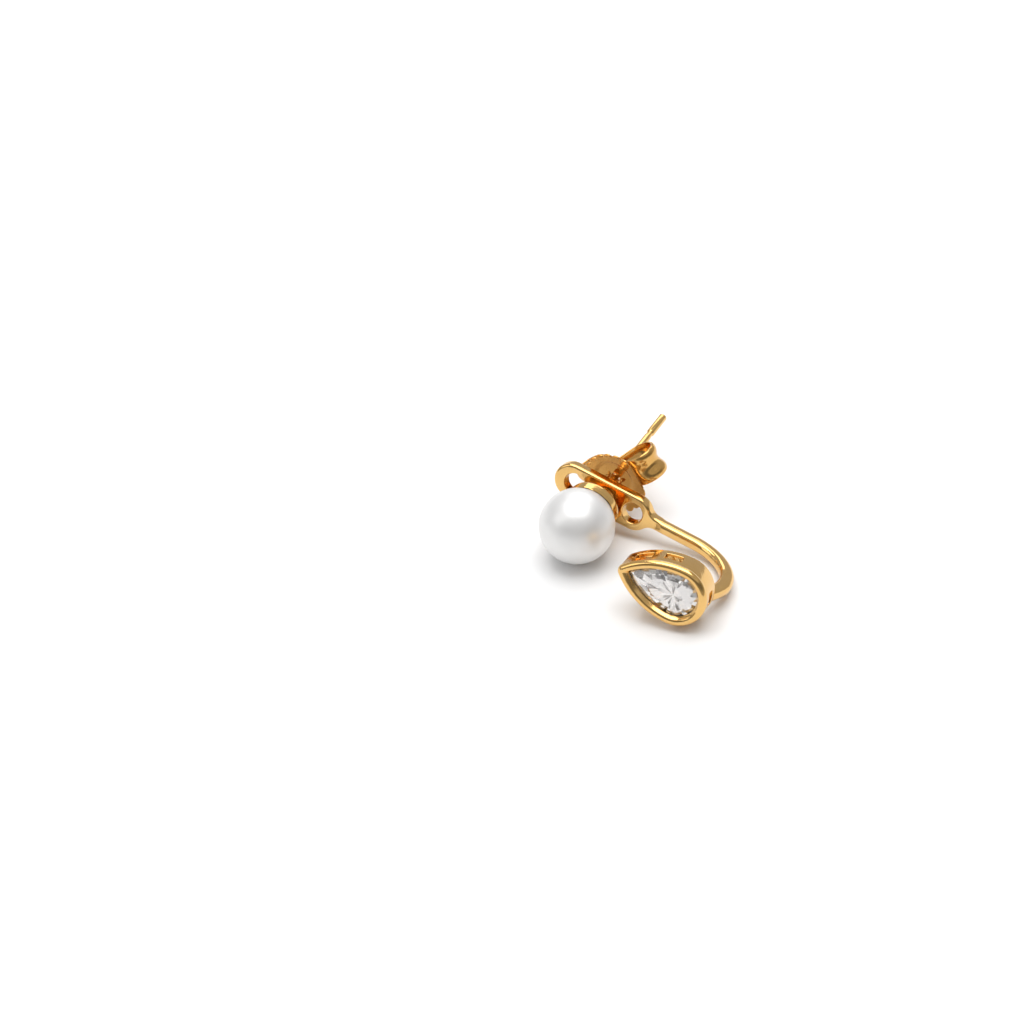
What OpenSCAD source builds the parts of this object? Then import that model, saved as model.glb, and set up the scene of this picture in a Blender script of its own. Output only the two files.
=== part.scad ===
// Pearl ear-jacket earring, laid on a table as it rests unworn.
// Units are millimetres, +Z is up, and the table is at Z = 0.
// The stud frame has its origin in the middle of the jacket hole that the post goes through.
// In it, +Y points to the pearl, -Y to the tip of the post, and +Z up along the jacket's bar.

/* [Pearl and post] */

// Diameter of the pearl
pearl_d = 6.0; // [4:0.1:9]
// Distance from the pearl's centre to the middle of the bar, along the post
pearl_to_bar = 4.45; // [4.3:0.05:6]
// Distance from the pearl's centre to the tip of the post
pearl_to_tip = 15.3; // [13:0.1:18]
// Diameter of the post
post_d = 0.58; // [0.5:0.02:1]
// Diameter of the thicker end of the post
post_end_d = 0.66; // [0.5:0.02:1.1]
// Length of the thicker end of the post
post_end_l = 2.4; // [1:0.1:4]
// Diameter of the post at the bottom of its groove
groove_d = 0.46; // [0.4:0.02:0.8]
// Width of the groove with its sloping sides
groove_w = 0.52; // [0.2:0.02:0.8]
// Diameter of the cup behind the pearl
cup_d = 4.3; // [3:0.1:6]
// Distance from the pearl's centre to the front edge of the cup
cup_front = 2.2; // [1.8:0.05:2.6]
// Distance from the pearl's centre to the flat back of the cup
cup_back = 3.2; // [3.2:0.05:3.6]
// Radius of the cup's back edge
cup_round = 0.4; // [0.2:0.05:0.8]
// Diameter of the peg that the pearl is glued on
peg_d = 0.8; // [0.6:0.05:1.2]
// Depth of the peg hole in the pearl
peg_hole_l = 2.2; // [1:0.1:3]
// Gap between glued, seated or gripped pieces
seat_gap = 0.05; // [0.03:0.01:0.1]

/* [Jacket bar and tail] */

// Tilt of the loose jacket on the post, in degrees
jacket_tilt = 17; // [0:1:25]
// Swing of the jacket around the post, in degrees
jacket_swing = -1.6; // [-20:0.1:20]
// Shift of the loose jacket to its side, across the post
jacket_side = 0.16; // [-0.2:0.01:0.2]
// Shift of the loose jacket down its bar, across the post
jacket_drop = 0.28; // [-0.4:0.01:0.4]
// Width of the bar
bar_w = 2.9; // [2:0.1:4]
// Thickness of the bar
bar_t = 1.0; // [0.6:0.05:1.4]
// Radius of the bar's edges
bar_edge = 0.22; // [0.05:0.01:0.4]
// Diameter of the three holes
hole_d = 1.7; // [1:0.1:2]
// Distance from one hole to the next
hole_step = 2.6; // [2:0.05:3.5]
// Distance from the top hole's centre up to the centre of the rounded top end
top_end_rise = 0.35; // [0:0.05:1]
// Distance from the bottom hole's centre down to the centre of the rounded bottom end
low_end_drop = 0.1; // [0:0.05:1]
// Radius of the hollow curves between the bar and the tail
neck_round = 1.0; // [0.3:0.1:2]
// Width of the tail
tail_w = 0.95; // [0.7:0.05:1.5]
// Thickness of the tail from front to back
tail_t = 1.1; // [0.8:0.05:1.6]
// Radius of the tail's edges
tail_edge = 0.38; // [0.1:0.01:0.5]
// Distance from the top hole's centre down to the start of the bend
bend_start = 10.6; // [8:0.1:14]
// Radius of the bend, at the middle of the tail
bend_r = 4.3; // [3:0.1:6]
// Angle of the bend in degrees
bend_angle = 90; // [80:1:110]
// Distance from the bar's middle plane forward to the middle of the tail
tail_fwd = 0.1; // [0:0.02:0.3]
// Length of the straight end of the tail
tail_end_l = 2.3; // [0:0.05:3]
// Slope of the straight end's lower side up to the setting, in degrees
tail_slope = 14; // [0:1:20]
// Slope of the straight end's upper side up to the setting, in degrees
tail_spread = 12; // [0:1:20]

/* [Pear setting] */

// Distance from the bar's middle plane forward to the front of the setting
setting_fwd = 9.2; // [6:0.1:12]
// Distance from the top hole's centre down to the centre of the setting's round end
setting_drop = 12.58; // [11:0.01:15]
// Lean of the setting's top to the front, in degrees
setting_lean = 3; // [0:1:15]
// Radius of the setting's round end
pear_r = 2.5; // [2:0.01:4]
// Distance from the centre of the round end to where the sides would cross
pear_h = 5.1; // [4:0.05:8]
// Radius of the setting's rounded tip
pear_tip_r = 0.6; // [0.2:0.05:1]
// Depth of the setting from front to back
setting_depth = 2.6; // [1.5:0.05:3]
// Radius of the rolled front rim
rim_r = 0.38; // [0.3:0.01:0.6]
// How far the wall stands back from the rim's outside
wall_inset = 0.05; // [0.03:0.01:0.3]
// Distance from the rim's outside to the inside of the wall
wall_inner = 0.55; // [0.4:0.01:0.8]
// Distance from the rim's outside to its inner edge over the stone
lip_inner = 0.78; // [0.7:0.01:1]
// Distance from the front of the setting back to the windows
window_front = 1.1; // [1.05:0.01:1.4]
// Distance from the front of the setting back to the far side of the windows
window_back = 1.95; // [1.4:0.01:2.2]

/* [Stone] */

// Distance from the rim's outside to the edge of the stone
stone_inset = 0.6; // [0.57:0.01:0.8]
// Depth of the stone's edge below the front of the rim
girdle_depth = 0.62; // [0.5:0.01:0.8]
// Thickness of the stone's edge
girdle_t = 0.08; // [0.04:0.01:0.15]
// Height of the table above the stone's edge
crown_h = 0.4; // [0.2:0.01:0.6]
// Depth of the stone's point below its edge
pavilion_h = 1.4; // [0.8:0.05:2]
// Radius of the stone's tip
stone_tip_r = 0.12; // [0.05:0.01:0.3]

/* [Butterfly back] */

// Distance from the middle of the bar to the plate, along the post
plate_gap = 2.15; // [2:0.05:5]
// Turn of the butterfly back on the post, in degrees
clutch_spin = 135; // [0:1:360]
// Radius to the tops of the plate's scallops
plate_r = 2.75; // [2:0.05:3.5]
// Distance from the plate's hole to the middle of its round edge
plate_off = 0.25; // [0:0.05:0.5]
// Half length of the plate between the two curls
plate_half_l = 2.35; // [1.5:0.05:3]
// Radius of one scallop
scallop_r = 0.42; // [0.2:0.01:0.8]
// Number of scallops
scallops = 20; // [8:1:36]
// Thickness of the sheet
sheet_t = 0.18; // [0.15:0.01:0.4]
// Radius of the plate's dishing
dish_r = 9; // [5:0.5:40]
// Diameter of the plate's hole
plate_hole_d = 0.8; // [0.7:0.05:1.3]
// Diameter of the collar around the plate's hole
collar_d = 1.6; // [1.2:0.05:2.4]
// Width of the curled strips
strip_w = 2.42; // [2:0.02:4]
// Mean outer radius of the curled strips
curl_r = 1.3; // [1:0.05:2]
// Height of the two ridges on a strip above the mean
ridge_h = 0.12; // [0:0.01:0.3]
// Distance of the ridges from the middle of a strip
ridge_at = 0.85; // [0.4:0.05:1.2]
// Distance from the post's axis to the axis of a curl
curl_at = 2.5; // [1.7:0.01:3.5]
// Angle that a strip curls through before it runs straight to the post, in degrees
curl_angle = 245; // [200:5:270]
// Length of the straight end of a strip
leg_l = 1.9; // [0.5:0.05:3]

/* [Lie on the table] */

// First turn, about X, in degrees
lie_turn_x = -3.84; // [-180:0.01:180]
// Second turn, about Y, in degrees
lie_turn_y = 78.11; // [-180:0.01:180]
// Third turn, about Z, in degrees
lie_turn_z = 147.08; // [-180:0.01:180]
// Shift in X to the middle of the part
lie_x = -2.342; // [-30:0.001:30]
// Shift in Y to the middle of the part
lie_y = 2.123; // [-30:0.001:30]
// Height of the stud frame's origin above the table
lie_z = 3.061; // [-30:0.001:30]

/* [Hidden] */

$fn = 64;

// Length by which cutters and joined solids run past each other
over = 0.2;
// Step between two faces that would otherwise lie in one plane
step = 0.01;
// Angle before the lowest point at which a curl leaves the plate
curl_start = 105;
// Colours for the drawing
gold = [0.86, 0.66, 0.33];
nacre = [0.95, 0.94, 0.92];
crystal = [0.9, 0.93, 0.96];

// Pear outline: the sides are arcs around two points on the line through the round end's centre
side_r = (pear_h * pear_h + pear_r * pear_r) / (2 * pear_r);
side_at = side_r - pear_r;
tip_up = sqrt(pow(side_r - pear_tip_r, 2) - side_at * side_at);
tip_turn = atan2(tip_up, side_at);

// Stone outline: the same arcs, set in
stone_r = pear_r - stone_inset;
stone_side_r = side_r - stone_inset;
stone_tip_up = sqrt(pow(stone_side_r - stone_tip_r, 2) - side_at * side_at);
stone_tip_turn = atan2(stone_tip_up, side_at);

// Neck between the bar's bottom end and the tail
low_end_z = -2 * hole_step - low_end_drop;
neck_x = tail_w / 2 + neck_round;
neck_drop = sqrt(pow(bar_w / 2 + neck_round, 2) - neck_x * neck_x);
neck_z = low_end_z - neck_drop;

// Rectangle with rounded corners, around the origin
module rounded_rect(wide, thick, edge) {
    square([wide - 2 * edge, thick], center = true);
    square([wide, thick - 2 * edge], center = true);
    for (x = [-1, 1]) {
        for (y = [-1, 1]) {
            translate([x * (wide / 2 - edge), y * (thick / 2 - edge)]) circle(r = edge);
        }
    }
}

// Disc with rounded edges, its axis along Y
module rounded_disc(radius, thick, edge) {
    rotate([90, 0, 0]) {
        rotate_extrude() {
            translate([0, -thick / 2]) square([radius - edge, thick]);
            translate([0, -thick / 2 + edge]) square([radius, thick - 2 * edge]);
            for (y = [-1, 1]) {
                translate([radius - edge, y * (thick / 2 - edge)]) circle(r = edge);
            }
        }
    }
}

// Frames

// From the stud's own axis, with +Z to the tip and the pearl's centre at 0, to the stud frame
module on_post() {
    translate([0, pearl_to_bar, 0]) rotate([90, 0, 0]) children();
}

// From the jacket frame, with its origin in the top hole, to the stud frame
module on_middle_hole() {
    translate([jacket_side, 0, -jacket_drop]) rotate([0, jacket_swing, 0]) {
        rotate([0, 0, jacket_tilt]) translate([0, 0, hole_step]) children();
    }
}

// From the setting's frame, with +Z to the front and +Y to the tip, to the jacket frame
module in_setting() {
    translate([0, setting_fwd, -setting_drop]) rotate([90 + setting_lean, 0, 180]) children();
}

// From the stud frame to the part's place on the table
module lay() {
    translate([lie_x, lie_y, lie_z]) rotate([lie_turn_x, lie_turn_y, lie_turn_z]) children();
}

// Pearl

module pearl() {
    color(nacre) lay() on_post() {
        difference() {
            sphere(d = pearl_d);
            translate([0, 0, pearl_d / 2 - peg_hole_l]) cylinder(d = peg_d + 2 * seat_gap, h = peg_hole_l + over);
        }
    }
}

// Post and cup, turned as one piece

module stud_post() {
    end_z = pearl_to_tip - post_end_l;
    end_round = post_end_d / 4;
    // The groove is deepest near the thicker end
    deepest = 0.25;
    color(gold) lay() on_post() {
        // Cup with a hollow for the pearl
        difference() {
            rotate_extrude() {
                translate([0, cup_front]) square([cup_d / 2, cup_back - cup_front - cup_round]);
                translate([0, cup_front]) square([cup_d / 2 - cup_round, cup_back - cup_front]);
                translate([cup_d / 2 - cup_round, cup_back - cup_round]) circle(r = cup_round);
            }
            sphere(r = pearl_d / 2 + seat_gap);
        }
        // Peg inside the pearl
        translate([0, 0, pearl_d / 2 - peg_hole_l + over]) {
            cylinder(d = peg_d, h = cup_back - pearl_d / 2 + peg_hole_l - 2 * over);
        }
        // Post with its groove and its thicker, rounded end
        rotate_extrude() {
            translate([0, cup_back - over]) square([post_d / 2, end_z - groove_w - cup_back + over]);
            polygon([
                [0, end_z - groove_w - over],
                [post_d / 2, end_z - groove_w - over],
                [post_d / 2, end_z - groove_w],
                [groove_d / 2, end_z - groove_w * deepest],
                [post_end_d / 2, end_z],
                [post_end_d / 2, end_z + over],
                [0, end_z + over]
            ]);
            translate([0, end_z]) square([post_end_d / 2, post_end_l - end_round]);
            translate([0, end_z]) square([post_end_d / 2 - end_round, post_end_l]);
            translate([post_end_d / 2 - end_round, pearl_to_tip - end_round]) circle(r = end_round);
        }
    }
}

// Jacket

module bar() {
    translate([0, 0, low_end_z]) linear_extrude(height = top_end_rise - low_end_z) {
        rounded_rect(bar_w, bar_t, bar_edge);
    }
    translate([0, 0, top_end_rise]) rounded_disc(bar_w / 2, bar_t, bar_edge);
    translate([0, 0, low_end_z]) rounded_disc(bar_w / 2, bar_t, bar_edge);
}

// Wedge between the bar's bottom end and the tail, hollowed on both sides
module neck() {
    share = bar_w / 2 / (bar_w / 2 + neck_round);
    difference() {
        rotate([90, 0, 0]) linear_extrude(height = bar_t - 2 * step, center = true) {
            polygon([
                [0, low_end_z],
                [neck_x * share, low_end_z - neck_drop * share],
                [neck_x, neck_z],
                [-neck_x, neck_z],
                [-neck_x * share, low_end_z - neck_drop * share]
            ]);
        }
        for (x = [-1, 1]) {
            translate([x * neck_x, 0, neck_z]) rotate([90, 0, 0]) rotate_extrude() neck_cutter();
        }
    }
}

// Half section of the round cutter that hollows the neck and leaves its edges rounded
module neck_cutter() {
    difference() {
        translate([0, -bar_t / 2 - over]) square([neck_round + step + bar_edge, bar_t + 2 * over]);
        translate([neck_round + step + bar_w / 2, 0]) rounded_rect(bar_w, bar_t - 2 * step, bar_edge);
    }
}

module tail() {
    straight_top = neck_z + over;
    blend_l = 0.7;
    clear = tail_t / 2 + 2 * step;
    slope_start = 0.3;
    // Straight stretch, thickening from the bar's thickness to the tail's
    intersection() {
        translate([0, tail_fwd, -bend_start]) linear_extrude(height = bend_start + straight_top) {
            rounded_rect(tail_w, tail_t, tail_edge);
        }
        rotate([90, 0, 90]) linear_extrude(height = tail_w + over, center = true) {
            polygon([
                [-bar_t / 2 + 2 * step, straight_top + over],
                [-bar_t / 2 + 2 * step, neck_z],
                [tail_fwd - clear, neck_z - blend_l],
                [tail_fwd - clear, -bend_start - over],
                [tail_fwd + clear, -bend_start - over],
                [tail_fwd + clear, neck_z - blend_l],
                [bar_t / 2 - 2 * step, neck_z],
                [bar_t / 2 - 2 * step, straight_top + over]
            ]);
        }
    }
    // Bend to the front, and the straight end that is soldered to the setting
    translate([0, tail_fwd + bend_r, -bend_start]) {
        rotate([0, 90, 0]) rotate([0, 0, -90]) rotate_extrude(angle = bend_angle) {
            translate([bend_r, 0]) rounded_rect(tail_t, tail_w, tail_edge);
        }
        rotate([bend_angle - 90, 0, 0]) translate([0, 0, -bend_r]) {
            difference() {
                rotate([-90, 0, 0]) linear_extrude(height = tail_end_l) rounded_rect(tail_w, tail_t, tail_edge);
                // The lower side slopes up to the setting's wall
                translate([0, slope_start, -tail_t / 2]) rotate([tail_slope, 0, 0]) {
                    translate([-tail_w, -over, -tail_t]) cube([2 * tail_w, tail_end_l + 2 * over, tail_t]);
                }
            }
            // The upper side spreads up to the setting
            rotate([tail_spread - 90, 0, 0]) linear_extrude(height = tail_end_l) {
                rounded_rect(tail_w - 2 * step, tail_t - 2 * step, tail_edge);
            }
        }
    }
}

// Half section of the setting: rolled rim, lip over the stone, ledge under it and wall.
// The outline of the pear is at x = r, and the section lies inside it.
module wall_section(r) {
    lip_slope = 0.1;
    lip_front = -0.12;
    ledge_inner = lip_inner + 0.03;
    ledge_back = -window_front + 0.03;
    chamfer = 0.08;
    // The seat is a groove around the stone's edge, and its sides slope like the stone's
    seat_front = -girdle_depth + 0.02;
    seat_back = -girdle_depth - girdle_t - 0.04;
    seat_slope = 0.2;
    difference() {
        union() {
            translate([r - rim_r, -rim_r]) circle(r = rim_r);
            polygon([
                [r - rim_r, 0],
                [r - lip_inner + lip_slope, lip_front],
                [r - lip_inner, lip_front - lip_slope],
                [r - lip_inner, seat_front],
                [r - ledge_inner, seat_front],
                [r - ledge_inner, ledge_back + 0.03],
                [r - wall_inner, ledge_back],
                [r - wall_inner, -setting_depth + chamfer],
                [r - wall_inner + chamfer, -setting_depth],
                [r - wall_inset - chamfer, -setting_depth],
                [r - wall_inset, -setting_depth + chamfer],
                [r - wall_inset, -rim_r]
            ]);
        }
        polygon([
            [r - wall_inner, seat_front],
            [r - lip_inner, seat_front + seat_slope],
            [r - ledge_inner - over, seat_front + seat_slope],
            [r - ledge_inner - over, seat_back - seat_slope],
            [r - ledge_inner, seat_back - seat_slope],
            [r - wall_inner, seat_back]
        ]);
    }
}

// Window cut through the wall along an arc of radius r, between two angles
module window(r, from, to) {
    rotate([0, 0, from]) rotate_extrude(angle = to - from) {
        translate([r - wall_inner - over, -window_back]) {
            square([wall_inner + 2 * over, window_back - window_front]);
        }
    }
}

module setting() {
    tip_overlap = 2;
    difference() {
        union() {
            rotate([0, 0, 180]) rotate_extrude(angle = 180) wall_section(pear_r);
            for (x = [0, 1]) {
                mirror([x, 0, 0]) translate([-side_at, 0, 0]) rotate_extrude(angle = tip_turn) wall_section(side_r);
            }
            // The tip lies a step off the sides' faces, and runs a little way into the sides
            translate([0, tip_up, step]) rotate([0, 0, tip_turn - tip_overlap]) {
                rotate_extrude(angle = 180 - 2 * tip_turn + 2 * tip_overlap) {
                    intersection() {
                        wall_section(pear_tip_r - step);
                        translate([0, -setting_depth - over]) square([pear_tip_r + over, setting_depth + 2 * over]);
                    }
                }
            }
        }
        // Windows on the side away from the blank stretch of the wall
        mirror([1, 0, 0]) translate([-side_at, 0, 0]) {
            window(side_r, 23.6, 37.8);
            window(side_r, 0, 14.5);
        }
        window(pear_r, 180, 190);
        window(pear_r, 218, 250);
        // Window in the round end, in front of the tail
        window(pear_r, 264, 294);
        // Windows on the other side
        translate([-side_at, 0, 0]) {
            window(side_r, 27.5, 40.5);
            window(side_r, 6.4, 19);
        }
    }
}

module ear_jacket() {
    color(gold) lay() on_middle_hole() {
        difference() {
            union() {
                bar();
                neck();
                tail();
            }
            for (i = [0:2]) {
                translate([0, 0, -i * hole_step]) rotate([90, 0, 0]) {
                    cylinder(d = hole_d, h = bar_t + 2 * over, center = true);
                }
            }
        }
        in_setting() setting();
    }
}

// Stone

// Distance from the round end's centre to the stone's side that faces the angle a
function stone_reach(a) =
    a < 0 || a > 180 ? stone_r :
    a <= stone_tip_turn ? stone_side_r - side_at * cos(a) :
    a >= 180 - stone_tip_turn ? stone_side_r + side_at * cos(a) :
    stone_tip_up * sin(a) + stone_tip_r;

// Point of the stone's edge that faces the angle a
function stone_point(a) =
    a < 0 || a > 180 ? [stone_r * cos(a), stone_r * sin(a)] :
    a <= stone_tip_turn ? [stone_side_r * cos(a) - side_at, stone_side_r * sin(a)] :
    a >= 180 - stone_tip_turn ? [stone_side_r * cos(a) + side_at, stone_side_r * sin(a)] :
    [stone_tip_r * cos(a), stone_tip_up + stone_tip_r * sin(a)];

// Block above a facet that faces the angle a, rises from the reach times spread, and meets the axis at peak
module facet(a, spread, peak) {
    reach = stone_reach(a) * spread;
    big = 20;
    rotate([0, 0, a]) translate([reach, 0, 0]) rotate([0, atan2(peak, reach), 0]) {
        translate([-big / 2, -big / 2, 0]) cube([big, big, big]);
    }
}

module pear_stone() {
    main_angles = [-90, -35, 12, 36, 90, 144, 168, 215];
    star_angles = [-62.5, -11.5, 25, 62, 118, 155, 191.5, 242.5];
    edge_angles = [-76, -49, -23, 0, 18, 31, 43, 75, 105, 137, 149, 162, 180, 203, 229, 256];
    // Each kind of facet: its spread from the stone's edge and the height at which it meets the axis
    main_spread = 1.02;
    main_peak = 1.2;
    star_spread = 1.35;
    star_peak = 0.72;
    edge_peak = 1.65;
    pavilion_spread = 1.01;
    pavilion_edge_peak = pavilion_h * 1.12;
    rim = [for (a = [-90:7.5:262.5]) stone_point(a)];
    color(crystal) lay() on_middle_hole() in_setting() {
        difference() {
            translate([0, 0, -girdle_depth - girdle_t - pavilion_h]) {
                linear_extrude(height = pavilion_h + girdle_t + crown_h) polygon(rim);
            }
            // Crown
            translate([0, 0, -girdle_depth]) {
                for (a = main_angles) {
                    facet(a, main_spread, main_peak);
                }
                for (a = star_angles) {
                    facet(a, star_spread, star_peak);
                }
                for (a = edge_angles) {
                    facet(a, 1, edge_peak);
                }
            }
            // Pavilion
            translate([0, 0, -girdle_depth - girdle_t]) mirror([0, 0, 1]) {
                for (a = main_angles) {
                    facet(a, pavilion_spread, pavilion_h);
                }
                for (a = edge_angles) {
                    facet(a, 1, pavilion_edge_peak);
                }
            }
        }
    }
}

// Butterfly back, bent from one strip

// Half section of a curled strip: a groove for the post between two ridges
module strip_section() {
    steps = 16;
    outer = [
        for (i = [0:steps])
            let (y = strip_w * (i / steps - 0.5))
            [curl_r - ridge_h * cos(180 * y / ridge_at), y]
    ];
    inner = [for (i = [steps:-1:0]) [outer[i][0] - sheet_t, outer[i][1]]];
    polygon(concat(outer, inner));
}

// One strip: it curls up from the plate and back, then runs straight down to the post
module curl() {
    rotate([90, 0, 0]) rotate([0, 0, -curl_start]) {
        rotate_extrude(angle = curl_angle) strip_section();
        rotate([0, 0, curl_angle]) rotate([-90, 0, 0]) translate([0, 0, -step]) {
            linear_extrude(height = leg_l) mirror([0, 1]) strip_section();
        }
    }
}

module butterfly_back() {
    curl_z = curl_r + ridge_h + sheet_t / 2 - curl_at * curl_at / 2 / dish_r;
    web_r = plate_r - scallop_r * 0.6;
    color(gold) lay() rotate([90, clutch_spin, 0]) translate([0, 0, plate_gap]) {
        difference() {
            union() {
                // Dished plate with a scalloped edge
                intersection() {
                    translate([0, plate_off, -plate_r]) linear_extrude(height = 2 * plate_r) {
                        circle(r = web_r);
                        for (i = [0:scallops - 1]) {
                            rotate(360 * i / scallops) translate([plate_r - scallop_r, 0]) circle(r = scallop_r);
                        }
                    }
                    cube([2 * plate_half_l, 3 * plate_r, 2 * plate_r], center = true);
                    translate([0, 0, -dish_r]) difference() {
                        sphere(r = dish_r + sheet_t, $fn = 200);
                        sphere(r = dish_r, $fn = 200);
                    }
                }
                // Collar around the hole
                translate([0, 0, -sheet_t / 2]) cylinder(d = collar_d, h = sheet_t);
            }
            translate([0, 0, -plate_r]) cylinder(d = plate_hole_d, h = 2 * plate_r);
        }
        // Two curls that grip the post
        for (x = [0, 1]) {
            mirror([x, 0, 0]) translate([curl_at, 0, curl_z]) curl();
        }
    }
}

pearl();
stud_post();
ear_jacket();
pear_stone();
butterfly_back();
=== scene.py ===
"""Pearl ear-jacket earring, lying unworn on a pale table.

Each piece is made in millimetres, in the frame of the part that it belongs to, and is then put in
place in metres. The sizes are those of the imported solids.
"""

import math

import bmesh
import bpy
from mathutils import Matrix, Vector
from mathutils.geometry import tessellate_polygon


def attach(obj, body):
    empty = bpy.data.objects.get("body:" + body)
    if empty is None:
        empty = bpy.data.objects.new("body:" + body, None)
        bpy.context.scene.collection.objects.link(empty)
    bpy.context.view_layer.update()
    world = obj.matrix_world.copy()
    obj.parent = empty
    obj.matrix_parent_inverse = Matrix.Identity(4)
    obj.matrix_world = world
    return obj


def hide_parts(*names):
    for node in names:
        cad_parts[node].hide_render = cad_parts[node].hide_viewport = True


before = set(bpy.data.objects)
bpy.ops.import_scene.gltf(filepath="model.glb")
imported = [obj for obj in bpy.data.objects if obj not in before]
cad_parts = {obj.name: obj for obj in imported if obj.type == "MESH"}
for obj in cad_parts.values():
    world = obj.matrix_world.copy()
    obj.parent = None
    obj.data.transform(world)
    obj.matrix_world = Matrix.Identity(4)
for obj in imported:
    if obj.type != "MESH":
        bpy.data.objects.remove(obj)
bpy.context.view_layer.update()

# All sizes are in millimetres and all angles in degrees

# Sizes of the pearl and the post
PEARL_R = 3.0
PEARL_TO_BAR = 4.45
PEARL_TO_TIP = 15.3
POST_R = 0.29
POST_END_R = 0.33
POST_END_L = 2.4
GROOVE_R = 0.23
GROOVE_W = 0.52
# Share of the groove's width from its deepest place to the thicker end
GROOVE_DEEPEST = 0.25
CUP_R = 2.15
CUP_FRONT = 2.2
CUP_BACK = 3.2
CUP_ROUND = 0.4
SOLDER_R = 0.18
PEG_R = 0.4
PEG_DEEP = 0.8
SEAT_GAP = 0.05

# Sizes of the jacket's bar and tail
JACKET_TILT = 17
JACKET_SWING = -1.6
JACKET_SIDE = 0.16
JACKET_DROP = 0.28
BAR_W = 2.9
BAR_T = 1.0
BAR_EDGE = 0.22
HOLE_R = 0.85
HOLE_EDGE = 0.1
HOLE_STEP = 2.6
TOP_END = 0.35
LOW_END = -5.3
NECK_ROUND = 1.0
NECK_BLEND = 0.7
TAIL_W = 0.95
TAIL_T = 1.1
TAIL_EDGE = 0.38
TAIL_FWD = 0.1
BEND_START = 10.6
BEND_R = 4.3
BEND_ANGLE = 90
TAIL_END_L = 2.3
# Rise of the end's lower and upper side, and how much thicker it is than the rest
TAIL_RISE = 0.6
TAIL_LIFT = 0.44
TAIL_SWELL = 0.14

# Sizes of the pear setting
SETTING_FWD = 9.2
SETTING_DROP = 12.58
SETTING_LEAN = 3
PEAR_R = 2.5
PEAR_H = 5.1
PEAR_TIP_R = 0.6
SETTING_DEPTH = 2.6
RIM_R = 0.38
WALL_INSET = 0.05
WALL_INNER = 0.55
LIP_INNER = 0.78
WINDOW_FRONT = 1.1
WINDOW_BACK = 1.95
WINDOW_CORNER = 0.12
# Side of the setting (-1 or 1), and the window's start and end along the outline from the widest
# place towards the tip
WINDOWS = (
    (-1, 2.66, 4.26),
    (-1, -0.44, 1.63),
    (-1, -3.05, -1.66),
    (1, -4.19, -2.88),
    (1, 0.72, 2.14),
    (1, 3.1, 4.56),
)

# Sizes of the stone
STONE_INSET = 0.6
STONE_TIP_R = 0.12
GIRDLE_DEPTH = 0.62
GIRDLE_T = 0.08
CROWN_H = 0.4
PAVILION_H = 1.4
# Directions that the facets face, around the round end's centre: large ones, ones between them
# and small ones along the edge
MAIN_FACETS = (-90, -60, -30, 2, 16, 30, 44, 90, 136, 150, 164, 178, 210, 240)
BETWEEN_FACETS = (-75, -45, -14, 9, 23, 37, 60, 120, 143, 157, 171, 194, 225, 255)
EDGE_FACETS = (
    -82, -68, -52, -37, -22, -6, 5, 12, 19, 26, 33, 40, 50, 75,
    105, 130, 140, 147, 154, 161, 168, 175, 186, 202, 217, 232, 248, 262,
)

# Sizes of the butterfly back: its distance and turn on the post, the plate and its hole
PLATE_GAP = 2.15
CLUTCH_SPIN = 135
PLATE_R = 2.75
PLATE_OFF = 0.25
PLATE_HALF_L = 2.35
SCALLOP_R = 0.42
SCALLOPS = 20
SHEET_T = 0.18
DISH_R = 9.0
PLATE_HOLE_R = 0.4
PLATE_HOLE_EDGE = 0.06
PLATE_RING_R = 1.45
PLATE_RING_H = 0.07
BURRS = 4
# The curled strip: a groove between two ridges, which fades out over the first angle of the curl
STRIP_W = 2.42
CURL_R = 1.3
RIDGE_H = 0.12
RIDGE_AT = 0.85
CURL_AT = 2.5
CURL_START = -105
CURL_ANGLE = 245
CURL_FADE = 60
LEG_L = 1.9


# Frames

def turn(x, y, z):
    """Turns about X, then Y, then Z, in degrees."""
    about_x = Matrix.Rotation(math.radians(x), 4, "X")
    about_y = Matrix.Rotation(math.radians(y), 4, "Y")
    about_z = Matrix.Rotation(math.radians(z), 4, "Z")
    return about_z @ about_y @ about_x


def shift(x, y, z):
    return Matrix.Translation((x, y, z))


# The part lies on the pearl, the edge of the butterfly back and the setting's wall
ON_TABLE = shift(-2.342, 2.123, 3.061) @ turn(-3.84, 78.11, 147.08)
STUD =Matrix.Scale(0.001, 4) @ ON_TABLE
ON_POST = STUD @ shift(0, PEARL_TO_BAR, 0) @ turn(90, 0, 0)
# The jacket hangs a little to one side and low in its wide hole
HUNG = STUD @ shift(JACKET_SIDE, 0, -JACKET_DROP) @ turn(0, JACKET_SWING, 0)
JACKET = HUNG @ turn(0, 0, JACKET_TILT) @ shift(0, 0, HOLE_STEP)
SETTING = JACKET @ shift(0, SETTING_FWD, -SETTING_DROP) @ turn(90 + SETTING_LEAN, 0, 180)
BACK = STUD @ turn(90, CLUTCH_SPIN, 0) @ shift(0, 0, PLATE_GAP)


# Mesh makers

def arc(centre, radius, start, end, steps):
    """Points on an arc, both ends included, between two angles in degrees."""
    points = []
    for i in range(steps + 1):
        angle = math.radians(start + (end - start) * i / steps)
        points.append((centre[0] + radius * math.cos(angle), centre[1] + radius * math.sin(angle)))
    return points


def ease(t):
    """A share from 0 to 1 that starts and ends gently."""
    return t * t * (3 - 2 * t)


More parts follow.
